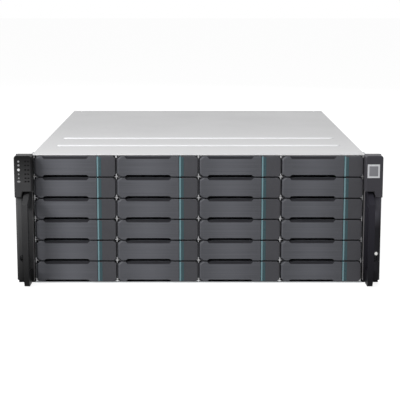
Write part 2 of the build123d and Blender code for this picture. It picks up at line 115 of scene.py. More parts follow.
class NodeGraph:
    """Short calls for building a node tree. A value is a socket or a plain constant."""

    def __init__(self, tree: bpy.types.NodeTree) -> None:
        """Keeps the tree."""
        self.tree = tree

    @classmethod
    def cleared(cls, owner: bpy.types.ID) -> "NodeGraph":
        """Empties a material's or a world's tree.

        Args:
            owner: The material or the world.

        Returns:
            The graph of its tree.
        """
        owner.use_nodes = True
        owner.node_tree.nodes.clear()
        return cls(owner.node_tree)

    def fill(self, node: bpy.types.Node, inputs: dict) -> bpy.types.Node:
        """Sets a node's inputs.

        Args:
            node: The node.
            inputs: Values for its inputs, by name or number.

        Returns:
            The node.
        """
        for name, value in inputs.items():
            if isinstance(value, Socket):
                self.tree.links.new(value, node.inputs[name])
            else:
                node.inputs[name].default_value = value
        return node

    def add(self, kind: str, inputs: dict | None = None, **fields: object) -> bpy.types.Node:
        """Adds a node.

        Args:
            kind: The node's type name, less the words that all share.
            inputs: Values for its inputs, by name or number.
            **fields: Its other settings.

        Returns:
            The new node.
        """
        node = self.tree.nodes.new(kind if kind.startswith("Node") else f"ShaderNode{kind}")
        for name, value in fields.items():
            setattr(node, name, value)
        return self.fill(node, inputs or {})

    def effect(self, which: "Effect", **inputs: object) -> Sockets:
        """Places a shared effect.

        Args:
            which: The effect.
            **inputs: Values for its inputs, with underscores for spaces.

        Returns:
            Its outputs.
        """
        named = {name.replace("_", " "): value for name, value in inputs.items()}
        return self.add("Group", named, node_tree=which.value.tree()).outputs

    def place(self) -> Socket:
        """The object's own coordinates."""
        return self.add("TexCoord").outputs["Object"]

    def along(self, axis: Axis) -> Socket:
        """One of the object's own coordinates."""
        return self.add("SeparateXYZ", {0: self.place()}).outputs[axis.value]

    def math(self, operation: str, *values: object, clamp: bool = False) -> Socket:
        """A sum on numbers."""
        inputs = dict(enumerate(values))
        return self.add("Math", inputs, operation=operation, use_clamp=clamp).outputs[0]

    def vector(self, operation: str, *values: object) -> Socket:
        """A sum on vectors."""
        node = self.add("VectorMath", dict(enumerate(values)), operation=operation)
        return node.outputs["Value" if operation == "LENGTH" else "Vector"]

    def remap(
        self,
        value: Socket,
        start: object,
        end: object,
        low: float = 0.0,
        high: float = 1.0,
        curve: str = "LINEAR",
    ) -> Socket:
        """Maps a value from one range to another and holds it there.

        Args:
            value: The value.
            start: Value that gives the low end.
            end: Value that gives the high end.
            low: The low end.
            high: The high end.
            curve: Blender's name for the way from one to the other.

        Returns:
            The mapped value.
        """
        inputs = {"Value": value, "From Min": start, "From Max": end, "To Min": low, "To Max": high}
        return self.add("MapRange", inputs, interpolation_type=curve).outputs["Result"]

    def mix(self, amount: object, colour: object, other: object) -> Socket:
        """A blend of two colours."""
        return self.add("Mix", {0: amount, 6: colour, 7: other}, data_type="RGBA").outputs[2]

    def noise(self, place: Socket, scale: object, detail: float, rough: float = 0.5) -> Socket:
        """A cloudy value over a place."""
        inputs = {"Vector": place, "Scale": scale, "Detail": detail, "Roughness": rough}
        return self.add("TexNoise", inputs).outputs["Fac"]

    def bump(self, strength: float, depth: float, height: Socket) -> Socket:
        """A normal turned by a height of this depth in metres."""
        inputs = {"Strength": strength, "Distance": depth, "Height": height}
        return self.add("Bump", inputs).outputs["Normal"]

    def off_pitch(self, value: Socket, start: object, pitch: object) -> Socket:
        """How far a value lies from the nearest of the places that repeat at a pitch.

        Args:
            value: The value.
            start: The first place.
            pitch: The pitch.

        Returns:
            The distance.
        """
        turns = self.math("DIVIDE", self.math("SUBTRACT", value, start), pitch)
        part = self.math("FRACT", self.math("ADD", turns, 0.5))
        share = self.math("ABSOLUTE", self.math("SUBTRACT", part, 0.5))
        return self.math("MULTIPLY", share, pitch)


def drift(graph: NodeGraph, given: Sockets) -> dict[str, Socket]:
    """Two tones that drift softly into each other over the surface, with finer flecks.

    Args:
        graph: The group's graph.
        given: Its inputs.

    Returns:
        Its outputs by name.
    """
    broad = graph.noise(graph.place(), given["Scale"], 3.0, 0.55)
    flecks = graph.noise(graph.place(), graph.math("MULTIPLY", given["Scale"], 23.0), 2.0)
    mask = graph.remap(graph.math("MULTIPLY_ADD", flecks, 0.3, broad), 0.45, 0.85)
    return {"Color": graph.mix(mask, given["Tone"], given["Other Tone"]), "Mask": mask}


def grain(graph: NodeGraph, given: Sockets) -> dict[str, Socket]:
    """The fine pitted texture of a spark-eroded mould."""
    pits = graph.noise(graph.place(), given["Scale"], 4.0, 0.7)
    return {"Height": graph.remap(pits, 0.3, 0.7)}


def brush(graph: NodeGraph, given: Sockets) -> dict[str, Socket]:
    """Fine lines left by rolling or brushing, drawn out along one axis."""
    drawn = graph.vector("MULTIPLY", graph.place(), given["Stretch"])
    return {"Height": graph.noise(drawn, given["Scale"], 5.0, 0.65)}


def zone(graph: NodeGraph, given: Sockets) -> dict[str, Socket]:
    """One inside a box given by its middle and half size, falling softly to nothing outside.

    Args:
        graph: The group's graph.
        given: Its inputs.

    Returns:
        Its outputs by name.
    """
    away = graph.vector("ABSOLUTE", graph.vector("SUBTRACT", graph.place(), given["Middle"]))
    past = graph.add("SeparateXYZ", {0: graph.vector("SUBTRACT", away, given["Half"])}).outputs
    worst = graph.math("MAXIMUM", graph.math("MAXIMUM", past[0], past[1]), past[2])
    return {"Mask": graph.remap(worst, 0.0, given["Soft"], 1.0, 0.0)}


def traces(graph: NodeGraph, given: Sockets) -> dict[str, Socket]:
    """Copper tracks and pads under solder mask."""
    inputs = {"Vector": graph.place(), "Scale": given["Scale"]}
    cells = graph.add("TexVoronoi", inputs, distance="MANHATTAN")
    return {"Mask": graph.remap(cells.outputs["Distance"], 0.30, 0.38)}


def crossings(graph: NodeGraph, given: Sockets) -> dict[str, Socket]:
    """One in a small oval at each crossing of the bay walls and the row ledges: a painted light
    patch.

    Args:
        graph: The group's graph.
        given: Its inputs.

    Returns:
        Its outputs by name.
    """
    side = graph.off_pitch(graph.along(Axis.X), 0.0, given["Column Pitch"])
    rise = graph.off_pitch(graph.along(Axis.Z), given["Row Start"], given["Row Pitch"])
    width = graph.math("DIVIDE", side, given["Half Width"])
    height = graph.math("DIVIDE", rise, given["Half Height"])
    away = graph.vector("LENGTH", graph.add("CombineXYZ", {0: width, 1: height}).outputs[0])
    return {"Mask": graph.remap(away, 0.6, 1.0, 1.0, 0.0)}


def painted_sheen(graph: NodeGraph, given: Sockets) -> dict[str, Socket]:
    """A soft upright stripe that repeats across the columns, one at its middle: where the flaps'
    sheen is painted.
    """
    away = graph.off_pitch(graph.along(Axis.X), given["Middle"], given["Pitch"])
    return {"Mask": graph.remap(away, 0.0, given["Reach"], 1.0, 0.0, curve="SMOOTHSTEP")}


@dataclass(frozen=True)
class Group:
    """A node group: its name, its sockets' kinds, and what builds its outputs from its inputs."""

    name: str
    inputs: dict[str, str]
    outputs: dict[str, str]
    maker: Callable[[NodeGraph, Sockets], dict[str, Socket]]

    def tree(self) -> bpy.types.NodeTree:
        """The group's tree, built when first asked for.

        Returns:
            The tree.
        """
        if self.name in bpy.data.node_groups:
            return bpy.data.node_groups[self.name]
        tree = bpy.data.node_groups.new(self.name, "ShaderNodeTree")
        for way, kinds in (("INPUT", self.inputs), ("OUTPUT", self.outputs)):
            for name, kind in kinds.items():
                tree.interface.new_socket(name, in_out=way, socket_type=kind)
        graph = NodeGraph(tree)
        graph.add("NodeGroupOutput", self.maker(graph, graph.add("NodeGroupInput").outputs))
        return tree


class Effect(Enum):
    """Surface effects that several finishes share, each built once as a node group."""

    DRIFT = Group(
        "tone_drift",
        {"Tone": COLOUR, "Other Tone": COLOUR, "Scale": FLOAT},
        {"Color": COLOUR, "Mask": FLOAT},
        drift,
    )
    GRAIN = Group("mould_grain", {"Scale": FLOAT}, HEIGHT, grain)
    BRUSH = Group("rolled_lines", {"Stretch": VECTOR, "Scale": FLOAT}, HEIGHT, brush)
    ZONE = Group("box_zone", {"Middle": VECTOR, "Half": VECTOR, "Soft": FLOAT}, MASK, zone)
    TRACES = Group("board_traces", {"Scale": FLOAT}, MASK, traces)
    CROSSINGS = Group(
        "bay_crossings_painted_light",
        dict.fromkeys(
            ("Column Pitch", "Row Pitch", "Row Start", "Half Width", "Half Height"), FLOAT
        ),
        MASK,
        crossings,
    )
    # Where the flaps' painted sheen lies
    BAND = Group("repeated_painted_sheen", dict.fromkeys(("Pitch", "Middle", "Reach"), FLOAT), MASK, painted_sheen)


def shader(name: str) -> tuple[bpy.types.Material, NodeGraph, bpy.types.Node]:
    """A new material with an empty tree but for its shader.

    Args:
        name: The material's name.

    Returns:
        The material, its graph and its Principled BSDF.
    """
    material = bpy.data.materials.new(name)
    graph = NodeGraph.cleared(material)
    surface = graph.add("BsdfPrincipled")
    graph.add("OutputMaterial", {"Surface": surface.outputs["BSDF"]})
    return material, graph, surface


@dataclass(frozen=True)
class Moulding:
    """Moulded plastic with a fine texture and slightly uneven gloss.

    Its painted shade darkens it from one height to another. Its painted sheen, a painted highlight,
    lightens the middle of each flap and draws faint level streaks of texture across it.
    """

    name: str
    colour: Colour
    roughness: float = 0.5
    specular: float = 0.35
    coat: float = 0.0
    grain: float = 1700.0
    depth: float = 0.00004
    drift: float = 0.86
    spread: float = 0.1
    # Painted shade: how strongly, and between which heights, the colour is darkened
    painted_shade: float = 0.0
    painted_shade_from: float = 0.105
    painted_shade_to: float = 0.008
    painted_shade_share: float = 0.1
    # Painted sheen: how much lighter the middle of each flap is painted
    painted_sheen: float = 0.0
    sheen_middle: float = 0.0425
    sheen_reach: float = 0.042
    sheen_share: float = 1.8
    streaks: float = 0.16

    def material(self) -> bpy.types.Material:
        """Builds the material.

        Returns:
            The material.
        """
        material, graph, surface = shader(self.name)
        two = {"Tone": opaque(self.colour), "Other_Tone": opaque(self.colour, self.drift)}
        tones = graph.effect(Effect.DRIFT, Scale=18.0, **two)
        colour = tones["Color"]
        # Painted sheen: the middle of each flap is painted lighter
        if self.painted_sheen:
            colour = graph.mix(self.light(graph), colour, opaque(self.colour, self.sheen_share))
        # Painted shade: darker from one height to another
        if self.painted_shade:
            height = graph.along(Axis.Z)
            amount = graph.remap(height, self.painted_shade_from, self.painted_shade_to, high=self.painted_shade)
            colour = graph.mix(amount, colour, opaque(self.colour, self.painted_shade_share))
        low, high = self.roughness - self.spread / 2, self.roughness + self.spread / 2
        pits = graph.effect(Effect.GRAIN, Scale=self.grain)["Height"]
        inputs = {
            "Base Color": colour,
            "Roughness": graph.remap(tones["Mask"], 0.0, 1.0, low, high),
            "Normal": graph.bump(0.5, self.depth, pits),
            "Specular IOR Level": self.specular,
            "Coat Weight": self.coat,
        }
        graph.fill(surface, inputs)
        return material

    def light(self, graph: NodeGraph) -> Socket:
        """How much lighter each flap is painted at each place: painted sheen with faint streaks.

        Args:
            graph: The material's graph.

        Returns:
            The amount.
        """
        pitch = COLUMN_PITCH * MM
        middle = graph.effect(
            Effect.BAND, Pitch=pitch, Middle=self.sheen_middle, Reach=self.sheen_reach
        )["Mask"]
        lines = graph.effect(Effect.BRUSH, Stretch=(1.5, 1.0, 330.0), Scale=3.0)["Height"]
        level = graph.remap(lines, 0.35, 0.65, -self.streaks, self.streaks)
        return graph.math("MULTIPLY_ADD", middle, self.painted_sheen, level, clamp=True)


@dataclass(frozen=True)
class Sheet:
    """Rolled and plated sheet metal, with fine lines and faint cloudy spangle.

    Its painted front light makes it slowly paler towards the front. Its edge is the plane ahead of
    which it is painted dark, painted shade, but for a lit patch at each crossing of walls and
    ledges.
    """

    name: str
    colour: Colour
    roughness: float = 0.42
    metallic: float = 1.0
    stretch: Point = (4.0, 260.0, 260.0)
    depth: float = 0.00003
    drift: float = 0.93
    cloud: float = 9.0
    spread: float = 0.12
    lines: float = 6.0
    painted_front_light: float = 1.0
    painted_light_from: float = 0.05
    painted_light_to: float = -0.254
    edge: float = 0.0
    painted_shade_half: Point = (0.3, 0.012, 0.1)
    painted_shade_soft: float = 0.006
    painted_shade_tone: Colour = tone(70, 70, 73)
    spot: Flat = (0.0028, 0.0042)

    def material(self) -> bpy.types.Material:
        """Builds the material.

        Returns:
            The material.
        """
        material, graph, surface = shader(self.name)
        two = {"Tone": opaque(self.colour), "Other_Tone": opaque(self.colour, self.drift)}
        colour = graph.effect(Effect.DRIFT, Scale=self.cloud, **two)["Color"]
        # Painted light: paler towards the front
        if self.painted_front_light != 1.0:
            amount = graph.remap(graph.along(Axis.Y), self.painted_light_from, self.painted_light_to)
            colour = graph.mix(amount, colour, opaque(self.colour, self.painted_front_light))
        # Painted shade ahead of the edge, left off at the crossings
        if self.edge:
            colour = graph.mix(self.dark(graph), colour, opaque(self.painted_shade_tone))
        rolled = graph.effect(Effect.BRUSH, Stretch=self.stretch, Scale=self.lines)["Height"]
        low, high = self.roughness - self.spread / 2, self.roughness + self.spread / 2
        inputs = {
            "Base Color": colour,
            "Roughness": graph.remap(rolled, 0.3, 0.7, low, high),
            "Normal": graph.bump(0.35, self.depth, rolled),
            "Metallic": self.metallic,
        }
        graph.fill(surface, inputs)
        return material

    def dark(self, graph: NodeGraph) -> Socket:
        """How much painted shade darkens the sheet at each place.

        Args:
            graph: The material's graph.

        Returns:
            The amount.
        """
        middle = (0.0, self.edge - 0.01, 0.09)
        front = graph.effect(Effect.ZONE, Middle=middle, Half=self.painted_shade_half, Soft=self.painted_shade_soft)
        spots = graph.effect(
            Effect.CROSSINGS,
            Column_Pitch=COLUMN_PITCH * MM,
            Row_Pitch=ROW_PITCH * MM,
            Row_Start=STACK_BASE * MM,
            Half_Width=self.spot[0],
            Half_Height=self.spot[1],
        )
        return graph.math("MULTIPLY", front["Mask"], graph.math("SUBTRACT", 1.0, spots["Mask"]))


@dataclass(frozen=True)
class Laminate:
    """A circuit board: green solder mask over copper tracks."""

    name: str = "board_laminate"
    mask: Colour = tone(26, 74, 44)
    copper: Colour = tone(50, 112, 66)

    def material(self) -> bpy.types.Material:
        """Builds the material.

        Returns:
            The material.
        """
        material, graph, surface = shader(self.name)
        tracks = graph.effect(Effect.TRACES, Scale=160.0)["Mask"]
        inputs = {
            "Base Color": graph.mix(tracks, opaque(self.mask), opaque(self.copper)),
            "Normal": graph.bump(0.6, 0.00004, tracks),
            "Roughness": 0.38,
            "Coat Weight": 0.25,
        }
        graph.fill(surface, inputs)
        return material


# How closely a sheet's fine lines lie along each axis
ALL_WAYS = (300.0, 300.0, 300.0)
LID_LINES = (3.0, 200.0, 200.0)


class Finish(Enum):
    """Every finish on the array."""

    ZINC = Sheet("zinc_sheet", tone(196, 199, 202), 0.44)
    # The lid is painted paler towards the front: painted light
    LID = Sheet("lid_sheet", tone(199, 199, 200), 0.6, 0.35, LID_LINES, 0.00002, painted_front_light=1.16)
    # The ribs are painted paler than the lid: a painted highlight where their slopes meet the light
    LID_RIB = Sheet("lid_rib_painted_highlight", tone(232, 233, 235), 0.55, 0.3, LID_LINES, 0.00002)
    # The cage and the trays' front walls are painted dark ahead of their edges, painted shade, with
    # lit patches left at the bay crossings as painted light
    CAGE = Sheet("cage_sheet_painted_shade", tone(214, 215, 217), 0.4, edge=-0.2522)
    WALL = Sheet(
        "tray_wall_painted_shade",
        tone(220, 221, 223),
        0.4,
        edge=-0.2459,
        painted_shade_tone=tone(22, 22, 24),
        spot=(0.0058, 0.0052),
    )
    HEAD = Sheet("wall_head", tone(205, 205, 206), 0.5, 0.7, ALL_WAYS)
    NICKEL = Sheet("nickel_screw", tone(214, 214, 212), 0.25, stretch=ALL_WAYS)
    CAST = Sheet(
        "cast_metal", tone(150, 153, 157), 0.55, stretch=(220.0, 220.0, 220.0), depth=0.00006
    )
    DRIVE_LID = Sheet("drive_lid", tone(188, 190, 192), 0.3, stretch=(260.0, 4.0, 260.0))
    GOLD = Sheet("contact_plating", tone(214, 176, 96), 0.25, stretch=ALL_WAYS)
    # The lever moulding carries a painted sheen, a painted highlight across the middle of each flap
    LEVER = Moulding("lever_moulding", tone(84, 85, 90), 0.5, 0.25, painted_sheen=0.42)
    # The scoop is the lever's moulding painted darker: painted shade under the tray above
    SCOOP = Moulding("lever_scoop_painted_shade", tone(44, 44, 48), 0.6, 0.1)
    BLOCK = Moulding("block_moulding", tone(76, 76, 80), 0.5, 0.2)
    # The ear pieces are lit and shaded copies of one moulding: left and right take different tones,
    # and most are painted darker from one height to another, all painted shade
    EAR_LEFT = Moulding("left_ear_moulding_painted_shade", tone(90, 90, 91), 0.42, 0.1, painted_shade=1.0)
    HANDLE_LEFT = Moulding("left_handle_moulding_painted_shade", tone(66, 66, 67), 0.42, 0.1, painted_shade=0.97)
    EAR_RIGHT = Moulding(
        "right_ear_moulding_painted_shade",
        tone(114, 113, 122),
        0.42,
        0.08,
        painted_shade=0.97,
        painted_shade_from=0.118,
        painted_shade_to=0.078,
    )
    HANDLE_RIGHT = Moulding(
        "right_handle_moulding_painted_shade", tone(50, 49, 56), 0.42, 0.08, painted_shade=0.97, painted_shade_to=-0.01
    )
    # A paler tone on the cover's inward faces: a painted highlight along the ear's inner edge
    EAR_EDGE = Moulding("ear_inner_edge_painted_highlight", tone(124, 122, 123), 0.4, 0.2)
    HOUSING_LEFT = Moulding(
        "left_housing_moulding_painted_shade",
        tone(66, 66, 67),
        0.42,
        0.1,
        painted_shade=0.95,
        painted_shade_from=0.14,
        painted_shade_to=0.174,
    )
    HOUSING_RIGHT = Moulding("right_housing_moulding_painted_shade", tone(72, 71, 76), 0.42, 0.1)
    DARK = Moulding("dark_moulding", tone(34, 34, 36), 0.48, 0.25)
    # Black on the brackets' front and inward faces is painted shade in the gaps beside the bays; it
    # is also the colour of the screw and rim in each cover's well
    BLACK = Moulding("black_recess_and_painted_shade", tone(20, 20, 22), 0.6, 0.08)
    WINDOW = Moulding("lamp_window", tone(8, 7, 8), 0.2, 0.12, depth=0.00001)
    SIGN = Moulding("pale_sign", tone(225, 225, 226), 0.6)
    SIGN_DIM = Moulding("dim_sign", tone(150, 150, 152), 0.6)
    PLATE = Moulding("bare_plate", tone(226, 227, 230), 0.4, grain=900.0)
    PLATE_FIELD = Moulding("bare_plate_field", tone(138, 138, 143), 0.5, grain=900.0)
    STRIP = Moulding("strip_lens", tone(104, 142, 150), 0.22, 0.5, 0.5, depth=0.00001)
    # A dark teal sheet beside the strip: painted shade and a painted teal reflection of the strip
    STRIP_SIDE = Moulding("strip_side_painted_shade", tone(50, 78, 84), 0.3, 0.35, depth=0.00001)
    BOARD = Laminate()

    def build(self) -> bpy.types.Material:
        """The material of this finish, built when first asked for."""
        return bpy.data.materials.get(self.value.name) or self.value.material()


class Shape:
    """A mesh in the making, in millimetres, with one number per finish on its faces."""

    def __init__(self) -> None:
        """Starts empty."""
        self.mesh = bmesh.new()

    def paint(self, verts: Iterable[Vert], finish: int) -> set[Face]:
        """Gives the faces round some vertices a finish.

        Args:
            verts: The vertices.
            finish: Number of the finish.

        Returns:
            The faces.
        """
        faces = {face for vert in verts for face in vert.link_faces}
        for face in faces:
            face.material_index = finish
        return faces

    def block(
        self, low: Point, high: Point, edge: float = 0.0, finish: int = 0, segments: int = 2
    ) -> "Shape":
        """Adds a block with softened edges.

        Args:
            low: Its lowest corner.
            high: Its highest corner.
            edge: Width of the softening on every edge.
            finish: Number of its finish.
            segments: Steps in the softening.

        Returns:
            This shape.
        """
        verts = bmesh.ops.create_cube(self.mesh, size=1.0)["verts"]
        bmesh.ops.scale(self.mesh, vec=[b - a for a, b in zip(low, high)], verts=verts)
        bmesh.ops.translate(self.mesh, vec=[(a + b) / 2 for a, b in zip(low, high)], verts=verts)
        self.paint(verts, finish)
        if edge:
            self.soften({e for vert in verts for e in vert.link_edges}, edge, segments)
        return self

    def bar(
        self,
        middle: Point,
        radius: float,
        length: float,
        facing: Point = UP,
        end: float = 0.0,
        finish: int = 0,
        sides: int = 24,
    ) -> list[Vert]:
        """Adds a round bar.

        Args:
            middle: Its centre.
            radius: Its radius, at the low end if the ends differ.
            length: Its length.
            facing: The way from its low end to its high end.
            end: Radius at its high end, or nothing for the same radius.
            finish: Number of its finish.
            sides: Sides of its round.

        Returns:
            Its vertices.
        """
        turn = Vector(UP).rotation_difference(Vector(facing)).to_matrix().to_4x4()
        verts = bmesh.ops.create_cone(
            self.mesh,
            cap_ends=True,
            segments=sides,
            radius1=radius,
            radius2=end or radius,
            depth=length,
            matrix=Matrix.Translation(middle) @ turn,
        )["verts"]
        self.paint(verts, finish)
        return verts

    def outline(self, points: Iterable[Point]) -> Face:
        """Adds one flat face through the points."""
        return self.mesh.faces.new([self.mesh.verts.new(point) for point in points])

    def push(self, face: Face, by: Point) -> Face:
        """Extrudes a face; a face that stands alone stays behind as the solid's other end.

        Args:
            face: The face to push.
            by: How far its copy moves.

        Returns:
            The moved face.
        """
        alone = all(len(edge.link_faces) == 1 for edge in face.edges)
        made = bmesh.ops.extrude_face_region(self.mesh, geom=[face], use_keep_orig=True)["geom"]
        if not alone:
            bmesh.ops.delete(self.mesh, geom=[face], context="FACES_ONLY")
        verts = [item for item in made if isinstance(item, Vert)]
        bmesh.ops.translate(self.mesh, vec=by, verts=verts)
        return next(item for item in made if isinstance(item, Face))

    def mend(self) -> "Shape":
        """Turns every face outwards."""
        bmesh.ops.recalc_face_normals(self.mesh, faces=self.mesh.faces)
        return self

    def soften(self, edges: Iterable[Edge], width: float, segments: int = 2) -> None:
        """Bevels edges with a round profile, taken in the mesh's own order.

        Args:
            edges: The edges.
            width: Width of the bevel.
            segments: Steps in it.
        """
        self.mesh.edges.index_update()
        bmesh.ops.bevel(
            self.mesh,
            geom=sorted(edges, key=lambda edge: edge.index),
            offset=width,
            offset_type="OFFSET",
            affect="EDGES",
            segments=segments,
            profile=0.5,
            material=-1,
            clamp_overlap=True,
        )

    def edges(
        self, degrees: float = 0.0, test: Callable[[Vector], bool] = lambda at: True
    ) -> list[Edge]:
        """The edges whose ends both pass a test, and whose faces meet at more than an angle.

        Args:
            degrees: The angle, or nothing for every edge.
            test: Takes a place and says whether it passes.

        Returns:
            The edges.
        """
        limit = math.radians(degrees)
        return [
            edge
            for edge in self.mesh.edges
            if (not degrees or (edge.is_manifold and edge.calc_face_angle(0.0) > limit))
            and all(test(vert.co) for vert in edge.verts)
        ]

    def screw(self, place: Point, facing: Point, radius: float, finish: int = 0) -> "Shape":
        """Adds a low round screw head with a round recess.

        Args:
            place: Middle of its seat.
            facing: Direction in which the head looks.
            radius: Radius of the head.
            finish: Number of its finish.

        Returns:
            This shape.
        """
        height = recess = radius * 0.42
        way = Vector(facing)
        verts = self.bar(Vector(place) + way * height / 2, radius, height, way, radius * 0.88)
        faces = self.paint(verts, finish)
        top = max(faces, key=lambda face: face.calc_center_median().dot(way))
        bmesh.ops.inset_region(self.mesh, faces=[top], thickness=recess, use_even_offset=True)
        bmesh.ops.translate(self.mesh, vec=-0.6 * height * way, verts=top.verts)
        return self

    def join(self, other: "Shape") -> None:
        """Takes in a copy of another shape."""
        data = bpy.data.meshes.new("joined")
        other.mesh.to_mesh(data)
        self.mesh.from_mesh(data)
        bpy.data.meshes.remove(data)

    def cut(self, tool: "Shape") -> "Shape":
        """Cuts another shape out of this one.

        Args:
            tool: The shape to cut with.

        Returns:
            This shape.
        """
        body, blade = self.draft("cut_body"), tool.draft("cut_blade")
        step = body.modifiers.new("cut", "BOOLEAN")
        step.operation = "DIFFERENCE"
        step.solver = "EXACT"
        step.object = blade
        graph = bpy.context.evaluated_depsgraph_get()
        result = bpy.data.meshes.new_from_object(body.evaluated_get(graph))
        self.mesh.clear()
        self.mesh.from_mesh(result)
        bmesh.ops.remove_doubles(self.mesh, verts=self.mesh.verts, dist=0.002)
        bpy.data.meshes.remove(result)
        for item in (body, blade):
            data = item.data
            bpy.data.objects.remove(item)
            bpy.data.meshes.remove(data)
        return self

    def draft(self, name: str) -> bpy.types.Object:
        """A passing object of the mesh as it stands.

        Args:
            name: The object's name.

        Returns:
            The object.
        """
        data = bpy.data.meshes.new(name)
        self.mesh.to_mesh(data)
        item = bpy.data.objects.new(name, data)
        bpy.context.scene.collection.objects.link(item)
        return item

    def piece(
        self,
        name: str,
        body: str,
        slot: Slot,
        finishes: Sequence[Finish],
        offset: Point = (0.0, 0.0, 0.0),
        smooth: float = 32.0,
    ) -> bpy.types.Object:
        """slot: The record's slot for the piece; not used.
            finishes: Its finishes, by number.
            offset: Where its drawing's origin lies in the part's frame.
            smooth: Faces that meet at less than this angle are shaded as one.

        Returns:
            The new object.
        """
        item = self.draft(name)
        data = item.data
        packed_normals = data.attributes.get("custom_normal")
        if packed_normals:
            data.attributes.remove(packed_normals)
        data.transform(Matrix.Scale(MM, 4) @ Matrix.Translation(offset))
        data.shade_smooth()
        data.set_sharp_from_angle(angle=math.radians(smooth))
        for finish in finishes:
            data.materials.append(finish.build())
        item.modifiers.new("flat_faces_stay_flat", "WEIGHTED_NORMAL").keep_sharp = True
        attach(item, body)
        log.info("%s: %d faces on %s", name, len(data.polygons), body)
        return item


def prism(points: Iterable[Point], by: Point) -> Shape:
    """A solid made from a flat outline by pushing it.

    Args:
        points: The outline.
        by: How far it is pushed.

    Returns:
        The shape.
    """
    made = Shape()
    made.push(made.outline(points), by)
    return made.mend()


def solids_of(node: str, kept: Sequence[int] = ()) -> list[Shape]:
    """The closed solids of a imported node, in its own order, as clean meshes in millimetres.

    Args:
        node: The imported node's name.
        kept: Numbers of the solids whose faces are full of holes, which keep their triangles.

    Returns:
        One shape for each solid.
    """
    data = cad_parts[node].data
    spots = [tuple(round(value * 1e6) for value in vert.co) for vert in data.vertices]
    unpaired: set[tuple] = set()
    shapes, start = [], 0
    for face in data.polygons:
        ring = [spots[index] for index in face.vertices]
        for first, second in zip(ring, ring[1:] + ring[:1]):
            if (second, first) in unpaired:
                unpaired.discard((second, first))
            else:
                unpaired.add((first, second))
        if not unpaired:
            shapes.append(solid_of(data, start, face.index, len(shapes) in kept))
            start = face.index + 1
    return shapes


def solid_of(data: bpy.types.Mesh, first: int, last: int, kept: bool) -> Shape:
    """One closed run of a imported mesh's faces, merged and in millimetres.

    Args:
        data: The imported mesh.
        first: Number of the run's first face.
        last: Number of its last face.
        kept: Whether the triangles stay, instead of joining into flat faces.

    Returns:
        The solid's shape.
    """
    shape = Shape()
    mesh = shape.mesh
    mesh.from_mesh(data)
    spare = [face for face in mesh.faces if not first <= face.index <= last]
    bmesh.ops.delete(mesh, geom=spare, context="FACES")
    bmesh.ops.scale(mesh, vec=[1 / MM] * 3, verts=mesh.verts)
    bmesh.ops.remove_doubles(mesh, verts=mesh.verts, dist=0.002)
    if not kept:
        flat = math.radians(0.4)
        bmesh.ops.dissolve_limit(mesh, angle_limit=flat, verts=mesh.verts, edges=mesh.edges)
    for face in mesh.faces:
        face.material_index = 0
    return shape


@dataclass
class Lid:
    """The lid: a folded sheet with two pressed ribs and small edge screws."""

    half: float = 219.4
    front: float = -254.0
    rear: float = 254.0
    top: float = 175.0
    sheet: float = 1.2
    lip: float = 2.0
    bend: float = 0.9
    rib_half: float = 196.0
    rib_width: float = 9.0
    rib_height: float = 1.0
    ribs: tuple[float, ...] = (-177.0, -103.0)
    screw_row: tuple[float, ...] = (-205.0, -70.0, 70.0, 205.0)
    screw_setback: float = 9.0
    screw_radius: float = 2.3

    def shape(self) -> Shape:
        """The folded sheet, drawn from the side and pushed across the chassis.

        Returns:
            The shape.
        """
        under, inner = self.top - self.sheet, self.front + self.sheet
        side = (
            (self.front, self.top - self.lip),
            (inner, self.top - self.lip),
            (inner, under),
            (self.rear, under),
            (self.rear, self.top),
            (self.front, self.top),
        )
        made = prism([(-self.half, y, z) for y, z in side], (2 * self.half, 0, 0))
        corner = Vector((self.front, self.top))
        made.soften(made.edges(test=lambda at: (at.yz - corner).length < 0.01), self.bend, 4)
        made.soften(made.edges(50), 0.2, 1)
        for place in self.ribs:
            made.join(self.rib(place))
        return made

    def rib(self, place: float) -> Shape:
        """One pressed rib with rounded ends and a soft crown.

        Args:
            place: Its middle, from front to rear.

        Returns:
            The shape.
        """
        half = self.rib_width / 2
        part = Shape().block(
            (-self.rib_half, place - half, self.top - 0.3),
            (self.rib_half, place + half, self.top + self.rib_height),
        )
        upright = [e for e in part.mesh.edges if abs(e.verts[0].co.z - e.verts[1].co.z) > 0.5]
        part.soften(upright, self.rib_width * 0.49, 8)
        part.soften(part.edges(test=lambda at: at.z > self.top + 0.5), self.bend, 4)
        # The rib takes the paler rib finish: a painted highlight
        part.paint(part.mesh.verts, 1)
        return part

    def build(self) -> None:
        """Makes the lid and its screws."""
        finishes = [Finish.LID, Finish.LID_RIB]
        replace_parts(self.shape().piece("lid_sheet", "chassis", Slot.STEEL, finishes), "top_cover")
        screws = Shape()
        for x in self.screw_row:
            place = (x, self.rear - self.screw_setback, self.top - 0.9)
            screws.screw(place, UP, self.screw_radius)
        screws.piece("lid_screws", "chassis", Slot.STEEL, [Finish.NICKEL])


